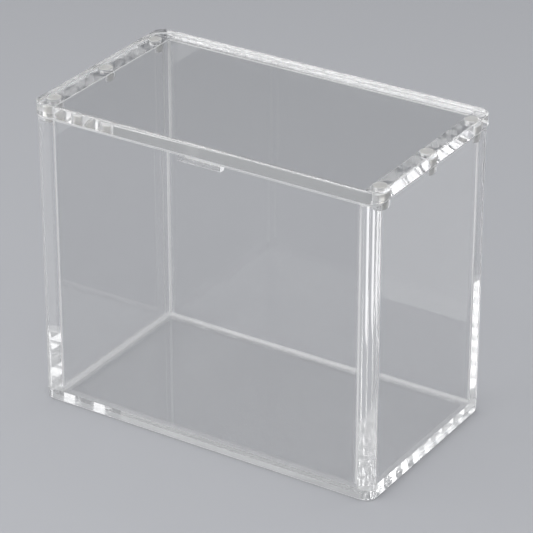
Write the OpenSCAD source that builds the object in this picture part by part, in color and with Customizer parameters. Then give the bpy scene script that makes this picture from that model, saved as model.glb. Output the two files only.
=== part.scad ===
// Clear acrylic card deck box: five cemented sheets and a lift-off lid held by
// six pairs of disc magnets.
// Origin: centre of the underside. +X along the length, +Y to the back, +Z up.

/* [Case] */
// Length of the case over its end walls
case_w = 161; // [110:1:240]
// Depth of the case over its front and back walls
case_d = 91; // [60:1:160]
// Height of the closed box, from the table to the top of the lid
total_h = 137; // [70:1:220]
// Sheet thickness of the left and right walls, which hold the magnets
side_t = 8; // [7.5:0.5:14]
// Sheet thickness of the front and back walls
front_t = 5; // [3:0.5:8]
// Sheet thickness of the base
base_t = 3; // [2:0.5:8]
// Radius of the four upright outer corners
corner_r = 5; // [2:0.5:6]

/* [Lid] */
// Sheet thickness of the lid
lid_t = 6; // [5:0.5:10]
// How far the lid stands out past the walls
lid_overhang = 0.5; // [0:0.1:1.5]

/* [Finger notch] */
// Width of the notch in the top edge of the front wall
notch_w = 20; // [10:1:40]
// Depth of the notch below the top edge
notch_h = 3; // [2:0.5:6]

/* [Magnets] */
// Diameter of every disc magnet
magnet_d = 6; // [4:0.5:6]
// Thickness of the discs in the lid
lid_magnet_t = 3; // [2:0.5:3.5]
// Thickness of the discs in the walls
wall_magnet_t = 4; // [2:0.5:6]
// Distance from the front or back face to the middle of the nearest disc
magnet_inset = 9.5; // [8:0.5:20]

/* [Edges] */
// Polished chamfer round the rims of the lid
lid_chamfer = 0.7; // [0.3:0.1:1]
// Polished chamfer round the bottom rim of the base
foot_chamfer = 0.5; // [0.3:0.1:1]
// Fine chamfer round the top rim of the walls
seam_chamfer = 0.3; // [0.1:0.1:0.6]

/* [Hidden] */
$fn = 96;

// Hairline gap under the lid: the wall magnets stand proud by this much and carry it
seam_gap = 0.1;
// Clearance round each magnet, filled with glue on the real box
pocket_gap = 0.05;
// Space for glue behind each magnet
glue_t = 0.2;
// Broken edge on the plated discs
magnet_chamfer = 0.25;
// How far a cutter runs past the face that it cuts
past = 1;

lid_z = total_h - lid_t;
wall_top = lid_z - seam_gap;
lid_w = case_w + 2 * lid_overhang;
lid_d = case_d + 2 * lid_overhang;
side_x = case_w / 2 - side_t;
front_y = case_d / 2 - front_t;
magnet_x = case_w / 2 - side_t / 2;
magnet_y = case_d / 2 - magnet_inset;

// Rows of magnets, named by the wall that they are in and by their place along it
SIDES = [["left", -1], ["right", 1]];
PLACES = [["front", -1], ["middle", 0], ["back", 1]];

function magnet_name(kind, side, place) = str(kind, "_magnet_", side[0], "_", place[0]);

// Half section of a plate of height h, with a chamfer at the bottom and one at the top
function half_section(half, h, low, high) =
    [[half - low, 0], [half, low], [half, h - high], [half - high, h]];

function full_section(half, h, low, high) =
    let (right = half_section(half, h, low, high))
    concat(right, [for (i = [3:-1:0]) [-right[i][0], right[i][1]]]);

// Upright block with round corners and a chamfer round each rim
module round_block(w, d, h, r, low, high) {
    rotate([90, 0, 90])
        linear_extrude(w - 2 * r, center = true)
            polygon(full_section(d / 2, h, low, high));
    rotate([90, 0, 0])
        linear_extrude(d - 2 * r, center = true)
            polygon(full_section(w / 2, h, low, high));
    for (x = [-1, 1], y = [-1, 1])
        translate([x * (w / 2 - r), y * (d / 2 - r), 0])
            rotate_extrude()
                polygon(concat([[0, 0]], half_section(r, h, low, high), [[0, h]]));
}

// Outer shape of the cemented case, which its sheets are polished to together
module case_shape() {
    round_block(case_w, case_d, wall_top, corner_r, foot_chamfer, seam_chamfer);
}

// Box between two corners
module span(low, high) {
    translate(low) cube(high - low);
}

// Blind pockets for the row of magnets along one end wall
module pockets(x, bottom, depth) {
    for (place = PLACES)
        translate([x, place[1] * magnet_y, bottom])
            cylinder(d = magnet_d + 2 * pocket_gap, h = depth);
}

module base_panel() {
    color([0.90, 0.93, 0.94, 0.4])
        intersection() {
            case_shape();
            span([-case_w, -case_d, -past], [case_w, case_d, base_t]);
        }
}

// The front or back wall stands on the base, between the end walls
module long_wall(y) {
    intersection() {
        case_shape();
        span([-side_x, y, base_t], [side_x, y + front_t, total_h]);
    }
}

module front_panel() {
    color([0.88, 0.92, 0.94, 0.4])
        difference() {
            long_wall(-case_d / 2);
            span([-notch_w / 2, -case_d, wall_top - notch_h], [notch_w / 2, 0, total_h]);
        }
}

module back_panel() {
    color([0.86, 0.91, 0.93, 0.4])
        long_wall(front_y);
}

// An end wall runs the full depth, and its top edge holds three magnets
module end_wall(x, magnets_x) {
    pocket_z = lid_z - wall_magnet_t - glue_t;
    difference() {
        intersection() {
            case_shape();
            span([x, -case_d, base_t], [x + side_t, case_d, total_h]);
        }
        pockets(magnets_x, pocket_z, total_h);
    }
}

module left_panel() {
    color([0.84, 0.90, 0.92, 0.4])
        end_wall(-case_w / 2, -magnet_x);
}

module right_panel() {
    color([0.84, 0.90, 0.92, 0.4])
        end_wall(side_x, magnet_x);
}

module lid_panel() {
    color([0.92, 0.95, 0.96, 0.4])
        difference() {
            translate([0, 0, lid_z])
                round_block(lid_w, lid_d, lid_t, corner_r + lid_overhang, lid_chamfer, lid_chamfer);
            for (side = SIDES)
                pockets(side[1] * magnet_x, lid_z - past, lid_magnet_t + glue_t + past);
        }
}

// Nickel-plated disc, standing on the height bottom
module magnet(side, place, bottom, t) {
    color([0.75, 0.76, 0.78])
        translate([side[1] * magnet_x, place[1] * magnet_y, bottom])
            rotate_extrude()
                polygon(concat(
                    [[0, 0]],
                    half_section(magnet_d / 2, t, magnet_chamfer, magnet_chamfer),
                    [[0, t]]));
}

module wall_magnet(side, place) {
    magnet(side, place, lid_z - wall_magnet_t, wall_magnet_t);
}

module lid_magnet(side, place) {
    magnet(side, place, lid_z, lid_magnet_t);
}

base_panel();
front_panel();
back_panel();
left_panel();
right_panel();
lid_panel();
for (side = SIDES) for (place = PLACES) {
    wall_magnet(side, place);
    lid_magnet(side, place);
}
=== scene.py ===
# A clear acrylic card deck box with a lift-off lid held by magnets, in metres, +Z up.

import bmesh
import bpy
import math
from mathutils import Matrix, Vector


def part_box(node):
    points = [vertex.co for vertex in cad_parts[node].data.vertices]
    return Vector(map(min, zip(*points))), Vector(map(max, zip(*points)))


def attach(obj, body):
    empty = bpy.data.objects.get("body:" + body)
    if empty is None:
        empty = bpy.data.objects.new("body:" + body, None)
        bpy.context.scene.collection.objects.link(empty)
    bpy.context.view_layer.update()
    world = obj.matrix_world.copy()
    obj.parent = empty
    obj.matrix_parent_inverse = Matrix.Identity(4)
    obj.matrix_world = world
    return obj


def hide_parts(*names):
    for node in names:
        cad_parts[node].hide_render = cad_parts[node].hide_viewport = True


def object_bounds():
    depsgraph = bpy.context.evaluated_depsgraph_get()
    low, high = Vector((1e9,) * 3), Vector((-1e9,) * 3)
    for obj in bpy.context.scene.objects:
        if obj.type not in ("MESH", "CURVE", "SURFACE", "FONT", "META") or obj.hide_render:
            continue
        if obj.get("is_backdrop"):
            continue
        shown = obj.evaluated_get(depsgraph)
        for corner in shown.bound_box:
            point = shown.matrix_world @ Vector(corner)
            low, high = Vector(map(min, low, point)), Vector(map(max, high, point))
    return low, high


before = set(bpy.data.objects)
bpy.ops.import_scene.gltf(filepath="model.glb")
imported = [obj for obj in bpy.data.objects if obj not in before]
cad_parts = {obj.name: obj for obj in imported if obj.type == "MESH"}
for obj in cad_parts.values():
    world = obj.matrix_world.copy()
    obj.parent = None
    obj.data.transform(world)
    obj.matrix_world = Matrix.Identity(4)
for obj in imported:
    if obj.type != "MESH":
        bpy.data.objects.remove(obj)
cad_low, cad_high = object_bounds()


# ---------------------------------------------------------------- Table and studio
# The box stands on a wide sheet of pale grey paper, under large soft lights.
# Paper is matt, with a faint tooth of pressed fibres.

def add_node(tree, kind, settings=None, links=None):
    """Adds one node, with its settings by name and its inputs linked to other nodes' outputs."""
    node = tree.nodes.new(kind)
    for name, value in (settings or {}).items():
        if name in node.inputs:
            node.inputs[name].default_value = value
        else:
            setattr(node, name, value)
    for name, output in (links or {}).items():
        tree.links.new(output, node.inputs[name])
    return node


def linear_colour(hex_code, alpha=1.0):
    """Turns an sRGB hex colour into the linear colour that the shaders work in."""
    parts = [int(hex_code[i:i + 2], 16) / 255 for i in (1, 3, 5)]
    return [p / 12.92 if p <= 0.04045 else ((p + 0.055) / 1.055) ** 2.4 for p in parts] + [alpha]


def new_finish(name):
    """Starts an empty material and gives its node tree and output."""
    finish = bpy.data.materials.new(name)
    finish.use_nodes = True
    tree = finish.node_tree
    tree.nodes.clear()
    return finish, tree, add_node(tree, "ShaderNodeOutputMaterial")


bpy.ops.object.select_all(action="DESELECT")

PAPER_WIDTH = 8.0
PAPER_TOOTH = 0.0006
TOOTH_DEPTH = 0.00005
AIR_UNDER_BASE = 0.0002

paper_finish, tree, output = new_finish("matt_paper")
place = add_node(tree, "ShaderNodeTexCoord")
fibres = add_node(tree, "ShaderNodeTexNoise", {"Scale": 1 / PAPER_TOOTH, "Detail": 3.0},
                  {"Vector": place.outputs["Object"]})
tooth = add_node(tree, "ShaderNodeBump", {"Strength": 0.2, "Distance": TOOTH_DEPTH},
                 {"Height": fibres.outputs["Fac"]})
paper = add_node(tree, "ShaderNodeBsdfPrincipled",
                 {"Base Color": linear_colour("#AFB0B4"), "Roughness": 0.9, "Specular IOR Level": 0.2},
                 {"Normal": tooth.outputs["Normal"]})
tree.links.new(paper.outputs["BSDF"], output.inputs["Surface"])

bpy.ops.mesh.primitive_plane_add(size=PAPER_WIDTH, location=(0, 0, -AIR_UNDER_BASE))
table = bpy.context.object
table.name = "paper_table"
table.data.materials.append(paper_finish)
table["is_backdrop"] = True

world = bpy.data.worlds.new("soft_room")
bpy.context.scene.world = world
world.use_nodes = True
world.node_tree.nodes.clear()
room = add_node(world.node_tree, "ShaderNodeBackground",
                {"Color": linear_colour("#909294"), "Strength": 1.0})
add_node(world.node_tree, "ShaderNodeOutputWorld", None, {"Surface": room.outputs["Background"]})


def soft_panel(name, place, width, height, brightness, aim=None, lights_table=True):
    """A soft rectangular light at place. Its brightness is how white it looks, 1 being white."""
    lamp = bpy.data.lights.new(name, "AREA")
    lamp.shape = "RECTANGLE"
    lamp.size = width
    lamp.size_y = height
    lamp.energy = brightness * math.pi * width * height
    light = bpy.data.objects.new(name, lamp)
    bpy.context.scene.collection.objects.link(light)
    light.location = place
    aim = Vector(aim) if aim else (cad_low + cad_high) / 2
    light.rotation_euler = (aim - Vector(place)).to_track_quat("-Z", "Y").to_euler()
    light.visible_camera = False
    light.visible_diffuse = lights_table
    light.visible_glossy = lights_table


soft_panel("overhead_light", (0.0, -0.1, 1.6), 2.0, 1.6, 1.6)
soft_panel("key_light", (-0.75, -0.95, 0.55), 1.3, 1.1, 2.4)
soft_panel("back_right_light", (0.55, 0.78, 0.35), 0.5, 0.7, 1.3)
soft_panel("fill_light", (0.75, -0.6, 1.15), 0.6, 0.6, 2.6)

# White cards stand close to the box, out of view, and show only in its cut edges.
soft_panel("left_card", (-0.13, -0.08, 0.087), 0.11, 0.018, 1.1,
           aim=(0, -0.08, 0.087), lights_table=False)
soft_panel("back_right_card", (0.16, 0.10, 0.105), 0.20, 0.20, 0.7,
           aim=(0.16, 0, 0.105), lights_table=False)


# ---------------------------------------------------------------- Camera
# A long lens, a little above and to the right of the notched front wall.

CAMERA_AZIMUTH = math.radians(32.46)
CAMERA_ELEVATION = math.radians(27.29)
CAMERA_DISTANCE = 1.188
CAMERA_AIM = Vector((0.0027, -0.0004, 0.0651))
LENS_MM = 194.5

camera_data = bpy.data.cameras.new("camera")
camera_data.lens = LENS_MM
camera_data.sensor_width = 36
camera_data.clip_end = 50
camera = bpy.data.objects.new("camera", camera_data)
bpy.context.scene.collection.objects.link(camera)
outward = Vector((math.sin(CAMERA_AZIMUTH) * math.cos(CAMERA_ELEVATION),
                  -math.cos(CAMERA_AZIMUTH) * math.cos(CAMERA_ELEVATION),
                  math.sin(CAMERA_ELEVATION)))
camera.location = CAMERA_AIM + outward * CAMERA_DISTANCE
camera.rotation_euler = (-outward).to_track_quat("-Z", "Y").to_euler()
bpy.context.scene.camera = camera

# Light zigzags along a clear sheet many times before it leaves by an edge.
EDGE_BOUNCES = 96

scene = bpy.context.scene
scene.view_settings.view_transform = "Standard"
scene.cycles.max_bounces = EDGE_BOUNCES
scene.cycles.transmission_bounces = EDGE_BOUNCES
scene.cycles.glossy_bounces = EDGE_BOUNCES
scene.cycles.transparent_max_bounces = EDGE_BOUNCES


# ---------------------------------------------------------------- Base
# A 3 mm sheet of clear cast acrylic, as long and deep as the case, under the four walls.
# Its corners are sanded round with the case, and its bottom rim is chamfered and polished.

CORNER_RADIUS = 0.005
CORNER_STEPS = 16
FOOT_CHAMFER = 0.0005
SAME_PLACE = 0.000002
SMOOTH_ANGLE = math.radians(35)
CLEAR_IOR = 1.49
EDGE_SHADOW = "#BEBEBE"
SHEET_WAVE = 0.045
WAVE_DEPTH = 0.000002
CUTTER_RIPPLE = 0.0025
RIPPLE_DEPTH = 0.0000005
SWIRL = 0.0004
SWIRL_DEPTH = 0.00003
CEMENT_HAZE = 0.05
FOOT_HAZE = 0.3
CEMENT_FILM = 0.00001


def clear_acrylic(name, roughness, add_surface, frost=0.0, lets_through="#FDFDFD"):
    """Polymethyl methacrylate: clear and neutral, and it lets the lamps' light through."""
    finish, tree, output = new_finish(name)
    place = add_node(tree, "ShaderNodeTexCoord")
    rays = add_node(tree, "ShaderNodeLightPath")
    body = add_node(tree, "ShaderNodeBsdfPrincipled",
                    {"Base Color": linear_colour("#F8F8F8"), "Roughness": roughness,
                     "IOR": CLEAR_IOR, "Transmission Weight": 1.0 - frost})
    add_surface(tree, place.outputs["Object"], body)
    lit = add_node(tree, "ShaderNodeBsdfTransparent", {"Color": linear_colour(lets_through)})
    lamp_rays = add_node(tree, "ShaderNodeMath", {"operation": "MAXIMUM"})
    tree.links.new(rays.outputs["Is Shadow Ray"], lamp_rays.inputs[0])
    tree.links.new(rays.outputs["Is Diffuse Ray"], lamp_rays.inputs[1])
    both = add_node(tree, "ShaderNodeMixShader", None, {"Fac": lamp_rays.outputs["Value"]})
    tree.links.new(body.outputs["BSDF"], both.inputs[1])
    tree.links.new(lit.outputs["BSDF"], both.inputs[2])
    tree.links.new(both.outputs["Shader"], output.inputs["Surface"])
    return finish


def cast_face(tree, place, body):
    """A cast sheet's face is glass-smooth, with a slow wave of a few microns."""
    wave = add_node(tree, "ShaderNodeTexNoise", {"Scale": 1 / SHEET_WAVE, "Detail": 1.0},
                    {"Vector": place})
    bump = add_node(tree, "ShaderNodeBump", {"Strength": 1.0, "Distance": WAVE_DEPTH},
                    {"Height": wave.outputs["Fac"]})
    tree.links.new(bump.outputs["Normal"], body.inputs["Normal"])


def polished_edge(tree, place, body):
    """A diamond-polished edge keeps faint cutter ripples, a few millimetres apart."""
    ripple = add_node(tree, "ShaderNodeTexNoise", {"Scale": 1 / CUTTER_RIPPLE, "Detail": 1.0},
                      {"Vector": place})
    bump = add_node(tree, "ShaderNodeBump", {"Strength": 1.0, "Distance": RIPPLE_DEPTH},
                    {"Height": ripple.outputs["Fac"]})
    tree.links.new(bump.outputs["Normal"], body.inputs["Normal"])


def drilled_pocket(tree, place, body):
    """The end mill leaves a pocket's wall and floor slightly frosted."""
    swirl = add_node(tree, "ShaderNodeTexNoise", {"Scale": 1 / SWIRL, "Detail": 2.0}, {"Vector": place})
    bump = add_node(tree, "ShaderNodeBump", {"Strength": 0.4, "Distance": SWIRL_DEPTH},
                    {"Height": swirl.outputs["Fac"]})
    tree.links.new(bump.outputs["Normal"], body.inputs["Normal"])


face_finish = clear_acrylic("cast_acrylic_face", 0.0, cast_face)
edge_finish = clear_acrylic("polished_acrylic_edge", 0.01, polished_edge, 0.12, EDGE_SHADOW)
rim_finish = clear_acrylic("scraped_acrylic_rim", 0.1, polished_edge, 0.8, EDGE_SHADOW)
buffed_finish = clear_acrylic("buffed_acrylic_rim", 0.05, polished_edge, 0.1, EDGE_SHADOW)
sawn_finish = clear_acrylic("sawn_acrylic_edge", 0.02, polished_edge, 0.33, EDGE_SHADOW)
corner_finish = clear_acrylic("buffed_acrylic_corner", 0.06, polished_edge, 0.1)
pocket_finish = clear_acrylic("drilled_acrylic_pocket", 0.15, drilled_pocket, 0.35)


def cemented_joint(name, milkiness):
    """Solvent welds two sheets into one, and leaves a faint milky haze between them."""
    finish, tree, output = new_finish(name)
    through = add_node(tree, "ShaderNodeBsdfTransparent", {"Color": (1, 1, 1, 1)})
    haze = add_node(tree, "ShaderNodeBsdfDiffuse", {"Color": linear_colour("#F4F4F4")})
    cement = add_node(tree, "ShaderNodeMixShader", {"Fac": milkiness})
    tree.links.new(through.outputs["BSDF"], cement.inputs[1])
    tree.links.new(haze.outputs["BSDF"], cement.inputs[2])
    tree.links.new(cement.outputs["Shader"], output.inputs["Surface"])
    return finish


cement_finish = cemented_joint("solvent_cemented_joint", CEMENT_HAZE)
foot_finish = cemented_joint("milky_cemented_foot", FOOT_HAZE)

# The last of these, TOP, is only on the end walls, and its finish is made with them.
FINISHES = (face_finish, edge_finish, cement_finish, corner_finish, rim_finish,
            sawn_finish, buffed_finish, foot_finish, pocket_finish)
FACE, EDGE, CEMENT, CORNER, RIM, SAWN, BUFFED, FOOT, POCKET, TOP = range(10)


def cut_sheet(name, node, ends=0.0, foot=0.0):
    """Saws a blank to the CAD sheet's size, less the films of cement at its ends and foot."""
    low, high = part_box(node)
    low = low + Vector((ends, 0, foot))
    high = high - Vector((ends, 0, 0))
    bpy.ops.object.select_all(action="DESELECT")
    bpy.ops.mesh.primitive_cube_add(size=1, location=(low + high) / 2, scale=high - low)
    sheet = bpy.context.object
    sheet.name = name
    for finish in FINISHES:
        sheet.data.materials.append(finish)
    bpy.ops.object.transform_apply(location=True, rotation=True, scale=True)
    bpy.ops.object.mode_set(mode="EDIT")
    return sheet, low, high


def mark_edges(sheet, wanted):
    """Selects the edges whose middle and direction are wanted."""
    bpy.context.tool_settings.mesh_select_mode = (False, True, False)
    bpy.ops.mesh.select_all(action="DESELECT")
    mesh = bmesh.from_edit_mesh(sheet.data)
    for edge in mesh.edges:
        a, b = (corner.co for corner in edge.verts)
        edge.select_set(wanted((a + b) / 2, (b - a).normalized()))
    bmesh.update_edit_mesh(sheet.data)


def mark_faces(sheet, wanted):
    """Selects the faces whose middle and normal are wanted."""
    bpy.context.tool_settings.mesh_select_mode = (False, False, True)
    bpy.ops.mesh.select_all(action="DESELECT")
    mesh = bmesh.from_edit_mesh(sheet.data)
    mesh.normal_update()
    for side in mesh.faces:
        side.select_set(wanted(side.calc_center_median(), side.normal))
    bmesh.update_edit_mesh(sheet.data)


def near(a, b):
    """True if two lengths are the same to within two microns."""
    return abs(a - b) < SAME_PLACE


def finish_sheet(sheet, body, node, slot_of, rim_of=lambda middle: RIM):
    """Gives each face its finish, smooths the rounded edges and sets the sheet on its body."""
    bpy.ops.object.mode_set(mode="OBJECT")
    for side in sheet.data.polygons:
        if side.material_index != POCKET:
            rounded = 0.02 < abs(side.normal.x) < 0.98 and abs(side.normal.z) < 0.02
            flat = max(abs(part) for part in side.normal) > 0.99
            if flat:
                side.material_index = slot_of(side.center, side.normal)
            else:
                side.material_index = CORNER if rounded else rim_of(side.center)
    bpy.ops.object.shade_smooth_by_angle(angle=SMOOTH_ANGLE)
    bpy.ops.object.modifier_add(type="WEIGHTED_NORMAL")
    sheet.modifiers[-1].keep_sharp = True
    bpy.ops.object.modifier_apply(modifier=sheet.modifiers[-1].name)
    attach(sheet, body)
    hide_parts(node)


inner_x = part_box("front_panel")[1].x
inner_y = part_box("back_panel")[0].y

base, low, high = cut_sheet("base_sheet", "base_panel")
mark_edges(base, lambda middle, along: abs(along.z) > 0.9)
bpy.ops.mesh.bevel(offset=CORNER_RADIUS, segments=CORNER_STEPS, affect="EDGES")
mark_edges(base, lambda middle, along: near(middle.z, low.z))
bpy.ops.mesh.bevel(offset=FOOT_CHAMFER, segments=2, affect="EDGES")
for place, across in (((inner_x, 0, 0), (1, 0, 0)), ((-inner_x, 0, 0), (1, 0, 0)),
                      ((0, inner_y, 0), (0, 1, 0)), ((0, -inner_y, 0), (0, 1, 0))):
    mark_faces(base, lambda middle, normal: normal.z > 0.9)
    bpy.ops.mesh.bisect(plane_co=place, plane_no=across)


def base_slot(middle, normal):
    """The top is bare in the middle, cemented clear under the front wall and milky under the rest."""
    if normal.z > 0.9 and abs(middle.x) < inner_x and abs(middle.y) < inner_y:
        return FACE
    if normal.z > 0.9:
        return CEMENT if middle.y < -inner_y else FOOT
    return FACE if normal.z < -0.9 else SAWN


finish_sheet(base, "case", "base_panel", base_slot)


# ---------------------------------------------------------------- Front and back walls
# 5 mm cast sheets that stand on the base, between the end walls, and are cemented on three
# edges. The front one has a shallow notch milled in its top edge for a fingertip.

NOTCH_HALF = 0.010
NOTCH_DEPTH = 0.003
TOP_CHAMFER = 0.0003


def long_slot(middle, normal):
    """The ends and the bottom are cemented, and the top and the notch are cut edges."""
    if normal.z < -0.9:
        return CEMENT
    if abs(normal.x) > 0.9 and abs(middle.x) > inner_x - 2 * CEMENT_FILM:
        return CEMENT
    return FACE if abs(normal.y) > 0.9 else EDGE


front, low, high = cut_sheet("front_sheet", "front_panel", CEMENT_FILM, CEMENT_FILM)
top = high.z
notch_floor = top - NOTCH_DEPTH
for side in (-NOTCH_HALF, NOTCH_HALF):
    bpy.ops.mesh.select_all(action="SELECT")
    bpy.ops.mesh.bisect(plane_co=(side, 0, 0), plane_no=(1, 0, 0))
mark_faces(front, lambda middle, normal: normal.z > 0.9 and abs(middle.x) < NOTCH_HALF)
bpy.ops.mesh.extrude_region_move(TRANSFORM_OT_translate={"value": (0, 0, -NOTCH_DEPTH)})
bpy.ops.mesh.select_all(action="SELECT")
bpy.ops.mesh.dissolve_limited(angle_limit=math.radians(1))
mark_edges(front, lambda middle, along: middle.z > notch_floor - TOP_CHAMFER and abs(along.x) > 0.9)
bpy.ops.mesh.bevel(offset=TOP_CHAMFER, segments=2, affect="EDGES")
finish_sheet(front, "case", "front_panel", long_slot)

rear, low, high = cut_sheet("back_sheet", "back_panel", CEMENT_FILM, CEMENT_FILM)
mark_edges(rear, lambda middle, along: near(middle.z, top) and abs(along.x) > 0.9)
bpy.ops.mesh.bevel(offset=TOP_CHAMFER, segments=2, affect="EDGES")
finish_sheet(rear, "case", "back_panel", long_slot)


# ---------------------------------------------------------------- End walls
# 8 mm cast sheets that run the full depth, thick enough to take the magnets. Their upright
# outer corners are rounded, and three blind pockets are milled in each top edge.

POCKET_RADIUS = 0.00305
WALL_POCKET_DEPTH = 0.0042
DRILL_TIP = 0.0006
PAST_MOUTH = 0.001
# Size of the painted caustic and shadow blotches on the end-wall tops.
PAINTED_PATCH_SIZE = 0.006
PLACES = ("front", "middle", "back")


def paint_caustics_and_shadow(tree, place, body):
    """Paints bright and dark blotches into the tint of the wall tops, as painted caustics and painted
    shadow for the table seen below them. Only the faint cutter ripple bump is real.
    """
    polished_edge(tree, place, body)
    blotch_noise = add_node(tree, "ShaderNodeTexNoise", {"Scale": 1 / PAINTED_PATCH_SIZE, "Detail": 2.0, "Distortion": 1.5},
                     {"Vector": place})
    # The ramp's dark and light colours are painted shadow and painted caustics, laid into the acrylic's
    # tint.
    painted_light_ramp = add_node(tree, "ShaderNodeValToRGB", None, {"Fac": blotch_noise.outputs["Fac"]})
    painted_shadow_stop, clear = painted_light_ramp.color_ramp.elements
    painted_shadow_stop.position, painted_shadow_stop.color = 0.40, linear_colour("#8E9095")
    clear.position, clear.color = 0.56, linear_colour("#FAFAFA")
    tree.links.new(painted_light_ramp.outputs["Color"], body.inputs["Base Color"])


# The finish of the end-wall tops carries painted caustics and painted shadow in its tint.
top_painted_light_finish = clear_acrylic("acrylic_top_painted_caustics", 0.01, paint_caustics_and_shadow, 0.12, EDGE_SHADOW)


def drill(sheet, at, floor, mouth):
    """Mills one blind pocket, with the small round that the cutter leaves at its floor."""
    bpy.ops.object.mode_set(mode="OBJECT")
    bpy.ops.object.select_all(action="DESELECT")
    past = math.copysign(PAST_MOUTH, mouth - floor)
    deep = mouth + past - floor
    bpy.ops.mesh.primitive_cylinder_add(vertices=48, radius=POCKET_RADIUS, depth=abs(deep),
                                        location=(at.x, at.y, floor + deep / 2))
    cutter = bpy.context.object
    bpy.ops.object.transform_apply(location=True, rotation=True, scale=True)
    bpy.ops.object.mode_set(mode="EDIT")
    mark_edges(cutter, lambda middle, along: near(middle.z, floor))
    bpy.ops.mesh.bevel(offset=DRILL_TIP, segments=3, affect="EDGES")
    bpy.ops.object.mode_set(mode="OBJECT")
    for finish in FINISHES:
        cutter.data.materials.append(finish)
    for side in cutter.data.polygons:
        side.material_index = POCKET
    bpy.ops.object.select_all(action="DESELECT")
    sheet.select_set(True)
    bpy.context.view_layer.objects.active = sheet
    bpy.ops.object.modifier_add(type="BOOLEAN")
    cut = sheet.modifiers[-1]
    cut.operation = "DIFFERENCE"
    cut.solver = "EXACT"
    cut.object = cutter
    bpy.ops.object.modifier_apply(modifier=cut.name)
    bpy.data.objects.remove(cutter)


def end_wall(side_name, out):
    """One end wall: out is 1 for the right end and -1 for the left."""
    node = side_name + "_panel"
    wall, low, high = cut_sheet(side_name + "_end_sheet", node, foot=CEMENT_FILM)
    outer_x = max(low.x * out, high.x * out)
    mark_edges(wall, lambda middle, along: abs(along.z) > 0.9 and near(middle.x * out, outer_x))
    bpy.ops.mesh.bevel(offset=CORNER_RADIUS, segments=CORNER_STEPS, affect="EDGES")
    mark_edges(wall, lambda middle, along: near(middle.z, high.z))
    bpy.ops.mesh.bevel(offset=TOP_CHAMFER, segments=2, affect="EDGES")
    for y in (-inner_y, inner_y):
        mark_faces(wall, lambda middle, normal: normal.x * out < -0.9)
        bpy.ops.mesh.bisect(plane_co=(0, y, 0), plane_no=(0, 1, 0))
    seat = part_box("lid_panel")[0].z
    for place in PLACES:
        disc_low, disc_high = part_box(f"wall_magnet_{side_name}_{place}")
        drill(wall, (disc_low + disc_high) / 2, seat - WALL_POCKET_DEPTH, high.z)

    def slot_of(middle, normal):
        """Cemented underneath and where the front and back walls butt against it."""
        if normal.z < -0.9 or normal.x * out < -0.9 and abs(middle.y) > inner_y:
            return CEMENT
        if normal.z > 0.99:
            return TOP
        return FACE if abs(normal.x) > 0.99 else EDGE

    # The top finish holds painted caustics and painted shadow in its tint.
    wall.data.materials.append(top_painted_light_finish)
    finish_sheet(wall, "case", node, slot_of)


end_wall("left", -1)
end_wall("right", 1)


# ---------------------------------------------------------------- Cement beads
# Where the solvent cement was run into a joint, a thin bead of it dries in the inner corner.
# It shows as a bright line down each upright corner, and a wider soft one round the base,
# where the cement was wiped.

UPRIGHT_BEAD = 0.0008
FOOT_BEAD = 0.002
BEAD_GAP = 0.00001

upright_bead_finish = clear_acrylic("dried_cement", 0.1, cast_face, frost=0.92)
foot_bead_finish = cemented_joint("wiped_cement", 0.12)


def cement_bead(name, centre, size, inward, bead_finish):
    """A three-sided bead: a square rod with the corner that faces the inside cut off."""
    bpy.ops.object.select_all(action="DESELECT")
    bpy.ops.mesh.primitive_cube_add(size=1, location=centre, scale=size)
    bead = bpy.context.object
    bead.name = name
    bpy.ops.object.transform_apply(location=True, rotation=True, scale=True)
    bpy.ops.object.mode_set(mode="EDIT")
    thick = min(size)
    mark_edges(bead, lambda middle, along: (middle - Vector(centre)).dot(inward) > thick * 0.9)
    bpy.ops.mesh.bevel(offset=thick * 0.8, segments=1, affect="EDGES")
    bpy.ops.object.mode_set(mode="OBJECT")
    bead.data.materials.append(bead_finish)
    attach(bead, "case")


floor_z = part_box("base_panel")[1].z
upright_low = floor_z + FOOT_BEAD
upright_high = top - UPRIGHT_BEAD
upright = UPRIGHT_BEAD / 2 + BEAD_GAP
foot = FOOT_BEAD / 2 + BEAD_GAP
for x, end in ((-1, "left"), (1, "right")):
    for y, row in ((-1, "front"), (1, "back")):
        middle = (x * (inner_x - upright), y * (inner_y - upright), (upright_low + upright_high) / 2)
        size = (UPRIGHT_BEAD, UPRIGHT_BEAD, upright_high - upright_low)
        cement_bead(f"upright_bead_{end}_{row}", middle, size, Vector((-x, -y, 0)), upright_bead_finish)
    size = (FOOT_BEAD, 2 * (inner_y - FOOT_BEAD - 2 * BEAD_GAP), FOOT_BEAD)
    cement_bead(f"foot_bead_{end}", (x * (inner_x - foot), 0, floor_z + foot), size,
                Vector((-x, 0, 1)), foot_bead_finish)
for y, row in ((-1, "front"), (1, "back")):
    size = (2 * (inner_x - BEAD_GAP), FOOT_BEAD, FOOT_BEAD)
    cement_bead(f"foot_bead_{row}", (0, y * (inner_y - foot), floor_z + foot), size,
                Vector((0, -y, 1)), foot_bead_finish)


# ---------------------------------------------------------------- Lid
# One 6 mm cast sheet, a hair larger than the case, with round corners and polished rims.
# Six blind pockets in its underside face the pockets of the end walls.

LID_CORNER_RADIUS = 0.0055
LID_RIM = 0.0007
LID_POCKET_DEPTH = 0.0032

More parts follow.
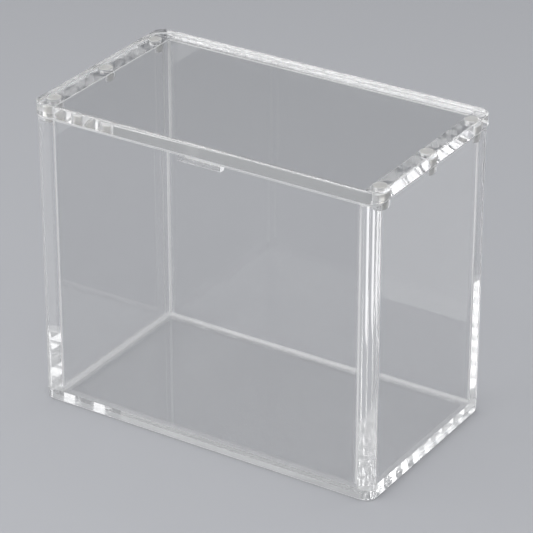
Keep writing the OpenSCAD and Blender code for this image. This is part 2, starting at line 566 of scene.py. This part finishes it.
lid, low, high = cut_sheet("lid_sheet", "lid_panel")
mark_edges(lid, lambda middle, along: abs(along.z) > 0.9)
bpy.ops.mesh.bevel(offset=LID_CORNER_RADIUS, segments=CORNER_STEPS, affect="EDGES")
mark_edges(lid, lambda middle, along: near(middle.z, low.z) or near(middle.z, high.z))
bpy.ops.mesh.bevel(offset=LID_RIM, segments=3, affect="EDGES")
for side_name in ("left", "right"):
    for place in PLACES:
        disc_low, disc_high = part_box(f"lid_magnet_{side_name}_{place}")
        drill(lid, (disc_low + disc_high) / 2, low.z + LID_POCKET_DEPTH, low.z)
halfway = (low.z + high.z) / 2
finish_sheet(lid, "lid", "lid_panel", lambda middle, normal: FACE if abs(normal.z) > 0.99 else EDGE,
             lambda middle: BUFFED if middle.z > halfway else RIM)


# ---------------------------------------------------------------- Magnets
# Pressed neodymium discs with a bright nickel plate, six in the lid and six in the walls.
# Each is tumbled before plating, so its rims are round and its faces a little uneven.

DISC_RIM = 0.00025
PITS = 0.0006
PIT_DEPTH = 0.00002

nickel_finish, tree, output = new_finish("nickel_plate")
place = add_node(tree, "ShaderNodeTexCoord")
pits = add_node(tree, "ShaderNodeTexNoise", {"Scale": 1 / PITS, "Detail": 3.0},
                {"Vector": place.outputs["Object"]})
uneven = add_node(tree, "ShaderNodeMapRange", {"To Min": 0.08, "To Max": 0.2},
                  {"Value": pits.outputs["Fac"]})
dents = add_node(tree, "ShaderNodeBump", {"Strength": 0.5, "Distance": PIT_DEPTH},
                 {"Height": pits.outputs["Fac"]})
plate = add_node(tree, "ShaderNodeBsdfPrincipled",
                 {"Base Color": linear_colour("#DAD8D2"), "Metallic": 1.0},
                 {"Roughness": uneven.outputs["Result"], "Normal": dents.outputs["Normal"]})
tree.links.new(plate.outputs["BSDF"], output.inputs["Surface"])


def pressed_disc(name, node):
    """A disc of the size and place of the CAD magnet, with tumbled rims."""
    low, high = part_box(node)
    bpy.ops.object.select_all(action="DESELECT")
    bpy.ops.mesh.primitive_cylinder_add(vertices=48, radius=(high.x - low.x) / 2, depth=high.z - low.z,
                                        location=(low + high) / 2)
    disc = bpy.context.object
    disc.name = name
    bpy.ops.object.transform_apply(location=True, rotation=True, scale=True)
    bpy.ops.object.mode_set(mode="EDIT")
    mark_edges(disc, lambda middle, along: abs(along.z) < 0.1)
    bpy.ops.mesh.bevel(offset=DISC_RIM, segments=3, affect="EDGES")
    bpy.ops.object.mode_set(mode="OBJECT")
    disc.data.materials.append(nickel_finish)
    bpy.ops.object.shade_smooth_by_angle(angle=SMOOTH_ANGLE)
    return disc


for row, body in (("wall", "case"), ("lid", "lid")):
    for side_name in ("left", "right"):
        for place in PLACES:
            node = f"{row}_magnet_{side_name}_{place}"
            disc = pressed_disc(f"{row}_disc_{side_name}_{place}", node)
            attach(disc, body)
            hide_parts(node)


low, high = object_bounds()
{"cad": [list(cad_low), list(cad_high)], "visual": [list(low), list(high)]}
